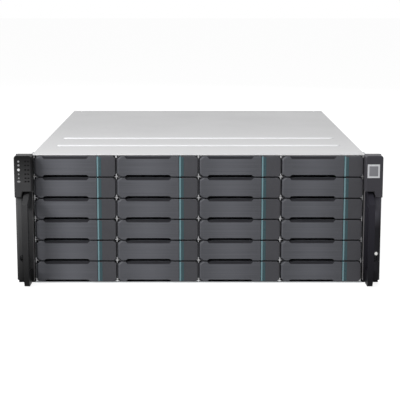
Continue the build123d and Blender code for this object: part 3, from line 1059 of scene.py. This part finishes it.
@dataclass
class TrayLever:
    """The lever: a hollow flap with a finger scoop, a notch below and room for its hinge."""

    left: float = 0.4
    right: float = 82.2
    low: float = 0.1
    high: float = 26.75
    depth: float = 11.5
    cut_width: float = 4.2
    cut_height: float = 3.4
    scoop: Flat = (13.4, 69.4)
    slope: float = 2.4
    scoop_height: float = 2.9
    scoop_depth: float = 3.0
    notch: float = 2.1
    plate: float = 2.4
    rim: float = 1.8
    lump: float = 9.5
    rib_half: float = 0.6
    hinge: Flat = (4.3, 3.9)
    knuckle_half: float = 5.2
    room: float = 3.0
    step: float = 0.06
    pin: float = 1.25
    turn: float = 2.6
    edge: float = 0.45

    def flap(self) -> Shape:
        """The flap's outer form, drawn from the front and pushed back in two steps.

        Returns:
            The shape.
        """
        start, end = self.scoop
        before, after = start - self.slope, end + self.slope
        floor = self.high - self.scoop_height
        points = (
            (self.left, self.low + self.cut_height),
            (self.left + self.cut_width, self.low),
            (before, self.low),
            (start, self.low + self.notch),
            (end, self.low + self.notch),
            (after, self.low),
            (self.right, self.low),
            (self.right, self.high),
            (after, self.high),
            (end, floor),
            (start, floor),
            (before, self.high),
            (self.left + self.cut_width, self.high),
            (self.left, self.high - self.cut_height),
        )
        made = Shape()
        step = made.push(made.outline([(u, 0.0, w) for u, w in points]), (0, self.scoop_depth, 0))
        for vert in step.verts:
            if abs(vert.co.z - floor) < 0.01:
                vert.co.z = self.high
        made.push(step, (0, self.depth - self.scoop_depth, 0))
        made.mend()
        # The scoop's faces take the darker scoop finish: painted shade
        for face in made.mesh.faces:
            x, y, z = face.calc_center_median()
            inside = floor - 0.1 < z < self.high - 0.01 and 0.01 < y < self.scoop_depth
            if inside and before - 0.1 < x < after + 0.1:
                face.material_index = 1
        near = self.left + self.cut_width + 0.01
        made.soften(made.edges(test=lambda at: at.y < 0.01 and at.x < near), self.turn, 6)
        made.soften(made.edges(30, lambda at: at.y < self.scoop_depth + 0.01), self.edge, 3)
        made.soften(made.edges(50, lambda at: at.y > 3.5), 0.25, 1)
        return made

    def shape(self) -> Shape:
        """The flap with its hollow, hinge room and pin.

        Returns:
            The shape.
        """
        made = self.flap()
        low, high = self.low + self.rim, self.high - self.rim
        x, y, middle = *self.hinge, (self.low + self.high) / 2
        end = self.right - 1.0 - self.rim
        rib = (self.lump + end) / 2
        for start, stop in ((self.lump, rib - self.rib_half), (rib + self.rib_half, end)):
            made.cut(Shape().block((start, self.plate, low), (stop, self.depth + 1, high), 0.6))
        # Each cut keeps a step inside the one before, because shared planes cut unevenly
        half = self.knuckle_half
        for start, front in ((-1.0, y), (x, self.plate + self.step)):
            far = (self.lump + half / 5, self.depth + 1, middle + half)
            made.cut(Shape().block((start, front, middle - half), far))
            half -= self.step
        hollow = Shape()
        hollow.bar((x, y, middle), self.room, 2 * half, sides=32)
        made.cut(hollow)
        made.bar((x, y, middle), self.pin, 2 * self.knuckle_half + 0.4, sides=16)
        return made


@dataclass
class Tray:
    """One tray behind its lever: end block, coloured strip, frame and drive."""

    width: float = 107.2
    height: float = 26.85
    block_width: float = 22.2
    block_depth: float = 13.6
    block_cut: float = 3.0
    strip: Flat = (82.6, 85.0)
    strip_setback: float = 0.3
    rail_x: Flat = (1.1, 106.1)
    rail_z: Flat = (0.05, 26.8)
    rail_sheet: float = 1.5
    rail_end: float = 156.6
    screw_y: tuple[float, ...] = (31.0, 72.0, 133.0)
    screw_z: float = 7.0
    screw_radius: float = 2.6
    drive_x: Flat = (2.8, 104.4)
    drive_y: Flat = (15.3, 162.3)
    drive_z: Flat = (0.375, 26.475)
    drive_base: float = 20.0
    hinge: Flat = (4.3, 3.9)
    arm_half: float = 1.5
    knuckle: float = 2.6
    knuckle_half: float = 4.8

    def face(self) -> Shape:
        """The end block with its cut corners, and the strip with a dark teal sheet of painted shade
        beside it.

        Returns:
            The shape.
        """
        left, cut = self.width - self.block_width, self.block_cut
        points = (
            (left, 0.0),
            (self.width - cut, 0.0),
            (self.width, cut),
            (self.width, self.height - cut),
            (self.width - cut, self.height),
            (left, self.height),
        )
        made = prism([(u, 0.0, w) for u, w in points], (0, self.block_depth, 0))
        made.soften(made.edges(30, lambda at: at.y < 0.01), 0.7, 3)
        made.soften(made.edges(40), 0.2, 1)
        start, end = self.strip
        top = self.height - 0.1
        made.block((start, self.strip_setback, 0.1), (end, self.block_depth, top), 0.35, 1)
        # The dark teal sheet beside the strip: painted shade and a painted teal reflection of the
        # strip
        top = self.height - 0.7
        made.block((left + 0.1, -0.12, 0.7), (left + 3.6, 0.8, top), 0.1, 2, 1)
        return made

    def frame(self) -> Shape:
        """The folded frame with rails, side screws and the hinge knuckle on its arm.

        Returns:
            The shape.
        """
        (left, right), (low, high) = self.rail_x, self.rail_z
        y, t, end = self.block_depth, self.rail_sheet, self.rail_end
        points = (
            (left, y),
            (right, y),
            (right, end),
            (right - t, end),
            (right - t, y + t),
            (left + t, y + t),
            (left + t, end),
            (left, end),
        )
        made = prism([(u, v, low) for u, v in points], (0, 0, high - low))
        made.soften(made.edges(40), 0.25, 1)
        u, v, middle = *self.hinge, self.height / 2
        half = self.knuckle_half
        made.block(
            (u - self.arm_half, v + 1.0, middle - half),
            (u + self.arm_half, y + 0.2, middle + half),
            0.2,
            segments=1,
        )
        for place in self.screw_y:
            for x, way in ((left + 0.95, -1), (right - 0.95, 1)):
                made.screw((x, place, self.screw_z), (way, 0, 0), self.screw_radius, 1)
        made.bar((u, v, middle), self.knuckle, 2 * half)
        # The frame's front wall takes the tray wall finish: painted shade over its front, with
        # painted light at the bay crossings
        for face in made.mesh.faces:
            if all(vert.co.y < y + t + 0.3 for vert in face.verts):
                face.material_index = 2
        return made

    def drive(self) -> Shape:
        """The drive: cast base, pressed lid with screws, board below and sockets at the rear.

        Returns:
            The shape.
        """
        (x0, x1), (y0, y1), (z0, z1) = self.drive_x, self.drive_y, self.drive_z
        base = z0 + self.drive_base
        made = Shape()
        # The base, the lid, the lid's raised field, the board, the sockets and the hub
        made.block((x0, y0, z0 + 1.6), (x1, y1, base), 1.2)
        made.block((x0 + 3, y0 + 3, base - 0.5), (x1 - 3, y1 - 3, z1 - 0.5), 1.6, 1, 3)
        made.block((x0 + 18, y0 + 14, z1 - 1.2), (x1 - 18, y1 - 52, z1 - 0.1), 0.5, 1)
        made.block((x0 + 8, y0 + 40, z0), (x1 - 8, y1 - 4, z0 + 1.7), 0.2, 2, 1)
        made.block((x0 + 12, y1 - 9, z0 + 0.4), (x0 + 56, y1 - 0.1, z0 + 6.2), 0.3, 3, 1)
        hub = ((x0 + x1) / 2 - 12, y1 - 38, z1 - 0.45)
        made.bar(hub, 11.0, 0.7, end=10.4, finish=1, sides=32)
        for x in (x0 + 8, x1 - 8):
            for y in (y0 + 8, (y0 + y1) / 2, y1 - 8):
                made.screw((x, y, z1 - 1.1), UP, 2.2, finish=1)
        return made


@dataclass
class Bays:
    """The 24 bays: four columns by six rows of trays with their levers."""

    columns: int = 4
    rows: int = 6
    column_gap: float = 1.8
    row_gap: float = 1.6
    face: float = -259.0
    tray: Tray = field(default_factory=Tray)
    lever: TrayLever = field(default_factory=TrayLever)

    def corner(self, row: int, column: int) -> Point:
        """The lower left front corner of a tray's face.

        Args:
            row: The row, from 0 on top.
            column: The column, from 0 on the left.

        Returns:
            The corner.
        """
        x = COLUMN_PITCH * (column - self.columns / 2) + self.column_gap / 2
        z = STACK_BASE + ROW_PITCH * (self.rows - 1 - row) + self.row_gap / 2
        return x, self.face, z

    def build(self) -> None:
        """Makes each tray's pieces from one drawing of each."""
        block = [Finish.BLOCK, Finish.STRIP, Finish.STRIP_SIDE]
        rails = [Finish.ZINC, Finish.NICKEL, Finish.WALL]
        metal = [Finish.CAST, Finish.DRIVE_LID, Finish.BOARD, Finish.DARK]
        grey = [Finish.LEVER, Finish.SCOOP]
        face, holder, drive = self.tray.face(), self.tray.frame(), self.tray.drive()
        flap = self.lever.shape()
        for row in range(self.rows):
            for column in range(self.columns):
                at = self.corner(row, column)
                name = f"r{row + 1}c{column + 1}"
                tray, lever = f"drive_tray_{name}", f"tray_lever_{name}"
                front = face.piece(f"tray_face_{name}", tray, Slot.TRAY, block, at)
                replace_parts(front, tray)
                holder.piece(f"tray_frame_{name}", tray, Slot.TRAY, rails, at)
                drive.piece(f"disk_drive_{name}", tray, Slot.TRAY, metal, at)
                handle = flap.piece(f"lever_flap_{name}", lever, Slot.LEVER, grey, at)
                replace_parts(handle, lever)


@dataclass
class Ear:
    """A rack ear: steel bracket, display housing and lower cover with its pull handle."""

    side: int
    front: float = -274.0
    cover_face: float = -269.0
    flange_back: float = -251.5
    inner_face: float = 219.6
    handle: Flat = (222.7, 229.7)
    highlight_line: float = 220.2
    leg_x: Flat = (215.0, 225.0)
    leg_y: Flat = (-236.0, -180.0)
    leg_z: Flat = (160.0, 180.0)
    leg_screw_x: float = 221.3
    leg_screws: tuple[float, ...] = (30.0, 88.0, 146.0)
    leg_columns: Flat = (-240.0, -205.0)
    leg_screw_radius: float = 2.8
    sign_x: float = 235.0
    signs: tuple[Flat, ...] = (
        (168.0, 1.3),
        (163.0, 1.35),
        (157.0, 1.75),
        (151.3, 1.0),
        (146.0, 0.95),
        (141.5, 1.3),
    )
    bright_sign: float = 157.0
    wide_sign: float = 141.5
    sign_stretch: float = 1.7
    lamps: Flat = (222.4, 226.2)
    lamp_half: Flat = (1.3, 1.0)
    proud: float = 0.25
    plate_x: Flat = (220.8, 236.8)
    plate_z: Flat = (146.2, 164.2)
    plate_margin: Flat = (2.2, 2.4)
    screw: Flat = (235.6, 43.8)
    screw_radius: float = 2.6
    well: Flat = (232.55, 37.3)
    well_radius: float = 3.7
    well_rim: Flat = (4.6, 4.3)
    well_floor: float = -256.5

    @property
    def name(self) -> str:
        """The ear's node."""
        return "right_ear" if self.side > 0 else "left_ear"

    def piece(self, shape: Shape, name: str, *finishes: Finish) -> bpy.types.Object:
        """Makes one of the ear's pieces.

        Args:
            shape: Its shape.
            name: Its name, after the ear's.
            *finishes: Its finishes.

        Returns:
            The new object.
        """
        return shape.piece(f"{self.name}_{name}", "chassis", Slot.EAR, finishes)

    def build(self) -> None:
        """Makes the ear's pieces."""
        bracket, housing, cover = solids_of(self.name)
        for shape in (housing, cover):
            shape.soften(shape.edges(60), 0.5, 3)
        # The cover's inward faces take the paler inner edge finish, a painted highlight; the
        # handle's faces take the grip finish
        for face in cover.mesh.faces:
            x, y, _ = face.calc_center_median()
            if abs(x) < self.highlight_line and face.normal.x * self.side < -0.1:
                face.material_index = 1
            elif y < self.cover_face - 0.3 or self.handle[0] < abs(x) < self.handle[1]:
                face.material_index = 2
        # The bracket's front flange and inward faces take black: painted shade in the gap beside
        # the bays
        for face in bracket.mesh.faces:
            x, y, _ = face.calc_center_median()
            inner = abs(x) < self.inner_face and face.normal.x * self.side < -0.9
            face.material_index = int(y < self.flange_back or inner)
        near, far = sorted(self.side * x for x in self.leg_x)
        low = (near, self.leg_y[0], self.leg_z[0])
        bracket.cut(Shape().block(low, (far, self.leg_y[1], self.leg_z[1])))
        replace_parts(self.piece(bracket, "bracket", Finish.ZINC, Finish.BLACK), self.name)
        # Left and right ears take lit and shaded copies of one moulding: painted shade
        upper, lower, grip = {
            -1: (Finish.HOUSING_LEFT, Finish.EAR_LEFT, Finish.HANDLE_LEFT),
            1: (Finish.HOUSING_RIGHT, Finish.EAR_RIGHT, Finish.HANDLE_RIGHT),
        }[self.side]
        self.piece(housing, "housing", upper)
        self.piece(cover, "cover", lower, Finish.EAR_EDGE, grip)
        screws = Shape()
        for z in self.leg_screws:
            for y in self.leg_columns:
                place = (self.side * self.leg_screw_x, y, z)
                screws.screw(place, (self.side, 0, 0), self.leg_screw_radius)
        self.piece(screws, "leg_screws", Finish.NICKEL)
        self.well_screw()
        if self.side < 0:
            self.display()
        else:
            self.label()

    def well_screw(self) -> None:
        """Makes the dark screw deep in the cover's well, and the well's low rim."""
        x, z = self.side * self.well[0], self.well[1]
        rim, hole, screw = Shape(), Shape(), Shape()
        low, high = self.well_rim
        rim.bar((x, self.cover_face + 0.1, z), low, 0.8, REAR, end=high, sides=32)
        hole.bar((x, self.cover_face, z), self.well_radius, 4.0, REAR, sides=32)
        self.piece(rim.cut(hole), "well_rim", Finish.BLACK)
        screw.screw((x, self.well_floor, z), FRONT, 3.4)
        screw.bar((x, self.well_floor + 1.3, z), 3.0, 3.0, REAR)
        self.piece(screw, "well_screw", Finish.BLACK)

    def display(self) -> None:
        """Makes the left ear's small plain signs, each with two lamp windows beside it."""
        signs, windows = Shape(), Shape()
        (half, rise), face = self.lamp_half, self.front - self.proud
        for z, size in self.signs:
            finish = int(z != self.bright_sign)
            place = (-self.sign_x, face + 0.2, z)
            verts = signs.bar(place, size, 0.5, REAR, finish=finish, sides=20)
            if z == self.wide_sign:
                middle = Matrix.Translation((self.sign_x, 0, 0))
                wider = (self.sign_stretch, 1.0, 1.0)
                bmesh.ops.scale(signs.mesh, vec=wider, space=middle, verts=verts)
            for x in self.lamps:
                low = (-x - half, face, z - rise)
                windows.block(low, (-x + half, self.front + 0.4, z + rise), 0.3)
        self.piece(signs, "signs", Finish.SIGN, Finish.SIGN_DIM)
        self.piece(windows, "lamp_windows", Finish.WINDOW)

    def label(self) -> None:
        """Makes the right ear's bare plate and its bright screw."""
        (left, right), (low, high) = self.plate_x, self.plate_z
        face, (u, w) = self.front, self.plate_margin
        plate = Shape().block((left, face - 0.3, low), (right, face + 0.3, high), 0.15)
        plate.block((left + u, face - 0.42, low + w), (right - u, face, high - w), 0.1, 1)
        self.piece(plate, "bare_plate", Finish.PLATE, Finish.PLATE_FIELD)
        place = (self.screw[0], self.cover_face + 0.3, self.screw[1])
        self.piece(Shape().screw(place, FRONT, self.screw_radius), "screw", Finish.NICKEL)


@dataclass
class RearModule:
    """What the two kinds of rear module share: box, face, board, plug, pull and screws."""

    node: str
    face: float = 256.35
    screw_inset: Flat = (6.5, 7.0)
    screw_radius: float = 2.7

    def piece(
        self, shape: Shape, name: str, finish: Finish = Finish.DARK, smooth: float = 32.0
    ) -> bpy.types.Object:
        """Makes one of the module's pieces.

        Args:
            shape: Its shape.
            name: Its name, after the module's.
            finish: Its finish.
            smooth: Faces that meet at less than this angle are shaded as one.

        Returns:
            The new object.
        """
        full = f"{self.node}_{name}"
        return shape.piece(full, self.node, Slot.MODULE, [finish], smooth=smooth)

    def dress(self, box: Shape, pull: Shape, board: Shape, plug: Shape) -> None:
        """Makes the shared pieces.

        Args:
            box: The sheet box with its face plate.
            pull: The bent pull.
            board: The circuit board.
            plug: The board's plug.
        """
        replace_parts(self.piece(box, "box", Finish.ZINC, 20.0), self.node)
        self.piece(board, "board", Finish.BOARD)
        pull.soften(pull.edges(35), 1.1, 3)
        self.piece(pull, "pull")
        plug.soften(plug.edges(60), 0.4, 2)
        self.piece(plug, "plug")
        low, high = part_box(self.node)
        (u, w), screws = self.screw_inset, Shape()
        for x in (low[0] / MM + u, high[0] / MM - u):
            for z in (low[2] / MM + w, high[2] / MM - w):
                screws.screw((x, self.face - 0.1, z), REAR, self.screw_radius)
        self.piece(screws, "screws", Finish.NICKEL)


@dataclass
class Controller(RearModule):
    """A controller: network sockets with contacts and lamp windows above them."""

    ports: int = 5
    port_pitch: float = 23.0
    port_width: float = 14.0
    port_height: float = 11.0
    wall: float = 3.0
    contacts: int = 8
    contact_start: float = 2.6
    contact_pitch: float = 1.2
    contact_depth: Flat = (14.0, 4.0)
    lamp_width: float = 2.4
    lamp_inset: float = 1.0
    rim: float = 0.7

    def build(self) -> None:
        """Makes the controller's pieces."""
        box, sockets, pull, board, plug = solids_of(self.node, kept=(0, 1))
        left = min(v.co.x for v in sockets.mesh.verts) + self.wall
        base = min(v.co.z for v in sockets.mesh.verts) + self.wall
        self.dress(box, pull, board, plug)
        self.piece(sockets, "sockets")
        pins, lamps, rims = Shape(), Shape(), Shape()
        for number in range(self.ports):
            self.port(left + number * self.port_pitch, base, pins, lamps, rims)
        self.piece(pins, "contacts", Finish.GOLD)
        self.piece(lamps, "lamp_windows", Finish.WINDOW)
        self.piece(rims, "socket_rims", Finish.NICKEL)

    def port(self, x: float, z: float, pins: Shape, lamps: Shape, rims: Shape) -> None:
        """Adds one port's contacts, lamp windows and raised rim.

        Args:
            x: Its left edge.
            z: Its lower edge.
            pins: Takes its contacts.
            lamps: Takes its lamp windows.
            rims: Takes its rim.
        """
        right, top, face, rim = x + self.port_width, z + self.port_height, self.face, self.rim
        far, near = self.contact_depth
        for blade in range(self.contacts):
            u = x + self.contact_start + blade * self.contact_pitch
            pins.block((u, face - far, top - 1.5), (u + 0.5, face - near, top - 0.4))
        wide, inset = self.lamp_width, self.lamp_inset
        for u in (x + inset, right - inset - wide):
            lamps.block((u, face - 0.2, top + 1.4), (u + wide, face + 0.25, top + 2.8), 0.2)
        for low, high in (
            ((x - rim, z - rim), (right + rim, z)),
            ((x - rim, top), (right + rim, top + rim)),
            ((x - rim, z), (x, top)),
            ((right, z), (right + rim, top)),
        ):
            rims.block((low[0], face - 0.3, low[1]), (high[0], face + 0.35, high[1]))


@dataclass
class PowerSupply(RearModule):
    """A power supply: fan frame behind its grille and a mains inlet with three blades."""

    blades: tuple[Flat, ...] = ((-7.0, -2.0), (7.0, -2.0), (0.0, 2.5))
    blade_half: Flat = (1.0, 2.2)
    blade_depth: Flat = (15.2, 3.0)

    def build(self) -> None:
        """Makes the power supply's pieces."""
        box, fan, cup, pull, board, plug = solids_of(self.node, kept=(0, 1, 2))
        self.dress(box, pull, board, plug)
        self.piece(fan, "fan_frame")
        xs = [v.co.x for v in cup.mesh.verts]
        zs = [v.co.z for v in cup.mesh.verts]
        self.piece(cup, "inlet")
        made = Shape()
        half, rise = self.blade_half
        far, near = (self.face - depth for depth in self.blade_depth)
        for u, w in self.blades:
            x, z = (min(xs) + max(xs)) / 2 + u, (min(zs) + max(zs)) / 2 + w
            made.block((x - half, far, z - rise), (x + half, near, z + rise), 0.4)
        self.piece(made, "inlet_blades", Finish.NICKEL)


@dataclass
class Chassis:
    """The tub, cage, midplane and fan rotors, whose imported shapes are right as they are."""

    walls: tuple[float, ...] = (-217.7, -109.0, 0.0, 109.0, 217.7)
    heads: tuple[float, ...] = (4.9, 30.75, 59.2, 87.65, 116.1, 144.55, 170.6)
    head_face: float = -252.45
    head_radius: float = 2.3
    end_radius: float = 1.7
    side_radius: float = 1.3

    def wall_heads(self) -> None:
        """Makes the low round heads on the bay walls' front edges, at the trays' corners."""
        made = Shape()
        outer = (self.walls[0], self.walls[-1])
        ends = (self.heads[0], self.heads[-1])
        for x in self.walls:
            for z in self.heads:
                radius = self.end_radius if z in ends else self.head_radius
                radius = self.side_radius if x in outer else radius
                place = (x, self.head_face - 0.25, z)
                verts = made.bar(place, radius * 0.7, 0.7, REAR, end=radius, sides=16)
                front = [face for face in made.paint(verts, 0) if face.normal.y < -0.9]
                bmesh.ops.inset_region(made.mesh, faces=front, thickness=radius * 0.3, depth=0.15)
        made.piece("bay_wall_heads", "chassis", Slot.STEEL, [Finish.HEAD])

    def build(self) -> None:
        """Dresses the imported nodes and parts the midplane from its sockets."""
        for node, finish in (
            ("chassis_tub", Finish.ZINC),
            ("drive_cage", Finish.CAGE),
            ("fan_rotor_a", Finish.DARK),
            ("fan_rotor_b", Finish.DARK),
        ):
            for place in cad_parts[node].material_slots:
                place.material = finish.build()
        self.wall_heads()
        board, *sockets = solids_of("midplane")
        card = board.piece("midplane_board", "chassis", Slot.BOARD, [Finish.BOARD])
        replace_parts(card, "midplane")
        joined = Shape()
        for shape in sockets:
            shape.soften(shape.edges(60), 0.3, 1)
            joined.join(shape)
        joined.piece("midplane_sockets", "chassis", Slot.BOARD, [Finish.DARK])


@dataclass(frozen=True)
class Lamp:
    """A square soft lamp. Its glossy says whether shiny surfaces mirror it."""

    name: str
    place: Point
    target: Point
    size: float
    power: float
    glossy: bool = True

    def hang(self) -> None:
        """Adds the lamp to the scene."""
        data = bpy.data.lights.new(self.name, "AREA")
        data.shape = "SQUARE"
        data.size = self.size
        data.energy = self.power
        item = bpy.data.objects.new(self.name, data)
        item.location = self.place
        way = Vector(self.target) - Vector(self.place)
        item.rotation_euler = way.to_track_quat("-Z", "Y").to_euler()
        item.visible_camera = False
        item.visible_glossy = self.glossy
        bpy.context.scene.collection.objects.link(item)


@dataclass
class Studio:
    """Pale floor, white surround, soft lamps and the camera."""

    eye: Point = (-0.0036, -1.6905, 0.3942)
    down: float = 8.99
    lens: float = 99.01
    sensor: float = 36.0
    shift: Flat = (0.0105, -0.1)
    near: float = 0.05
    surround: float = 0.32
    floor_tone: Colour = (0.3, 0.3, 0.3)
    floor_glow: Colour = (0.88, 0.88, 0.88)
    floor_half: float = 12000.0
    lamps: tuple[Lamp, ...] = (
        Lamp("key_softbox", (-1.45, -1.35, 1.0), (0.0, -0.2, 0.08), 0.8, 30.0),
        Lamp("top_softbox", (0.0, -0.85, 1.2), (0.0, -0.15, 0.12), 0.9, 4.5),
        Lamp("rear_softbox", (0.6, 1.9, 1.2), (0.0, 0.1, 0.1), 1.4, 12.0, glossy=False),
    )

    def build(self) -> None:
        """Makes the floor, the surround, the lamps and the camera."""
        scene = bpy.context.scene
        scene.view_settings.view_transform = "Standard"
        self.floor()
        self.world()
        for lamp in self.lamps:
            lamp.hang()
        data = bpy.data.cameras.new("camera")
        data.lens = self.lens
        data.sensor_width = self.sensor
        data.shift_x, data.shift_y = self.shift
        data.clip_start = self.near
        camera = bpy.data.objects.new("camera", data)
        camera.location = self.eye
        camera.rotation_euler = (math.radians(90 - self.down), 0.0, 0.0)
        scene.collection.objects.link(camera)
        scene.camera = camera

    def seen(self, graph: NodeGraph) -> Socket:
        """One for rays from the camera and for reflections and refractions.

        Args:
            graph: The graph of a material or a world.

        Returns:
            The mask.
        """
        rays = graph.add("LightPath").outputs
        first = graph.math("MAXIMUM", rays["Is Camera Ray"], rays["Is Glossy Ray"])
        return graph.math("MAXIMUM", first, rays["Is Transmission Ray"])

    def floor(self) -> None:
        """Makes a wide pale floor that keeps the shadow."""
        shape = Shape()
        bmesh.ops.create_grid(shape.mesh, x_segments=1, y_segments=1, size=self.floor_half)
        item = shape.draft("floor")
        item.data.transform(Matrix.Scale(MM, 4))
        material = bpy.data.materials.new("pale_floor")
        graph = NodeGraph.cleared(material)
        matt = graph.add("BsdfDiffuse", {"Color": opaque(self.floor_tone)}).outputs[0]
        glow = graph.add("Emission", {"Color": opaque(self.floor_glow)}).outputs[0]
        both = graph.add("AddShader", {0: matt, 1: glow}).outputs[0]
        mixed = graph.add("MixShader", {0: self.seen(graph), 1: matt, 2: both}).outputs[0]
        graph.add("OutputMaterial", {"Surface": mixed})
        item.data.materials.append(material)

    def world(self) -> None:
        """Makes a white surround for the camera and reflections, softer for the light."""
        world = bpy.data.worlds.new("surround")
        bpy.context.scene.world = world
        graph = NodeGraph.cleared(world)
        white = opaque((1.0, 1.0, 1.0))
        seen, light = (
            graph.add("Background", {"Color": white, "Strength": strength}).outputs[0]
            for strength in (1.0, self.surround)
        )
        mixed = graph.add("MixShader", {0: self.seen(graph), 1: light, 2: seen}).outputs[0]
        graph.add("OutputWorld", {"Surface": mixed})


def main() -> None:
    """Builds every sub-assembly in order, then the studio."""
    logging.basicConfig(level=logging.INFO, format="%(message)s")
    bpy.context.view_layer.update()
    Chassis().build()
    Lid().build()
    Bays().build()
    for side in (-1, 1):
        Ear(side).build()
    for letter in "ab":
        Controller(f"controller_{letter}").build()
        PowerSupply(f"power_supply_{letter}").build()
    Studio().build()


if __name__ == "__main__":
    main()
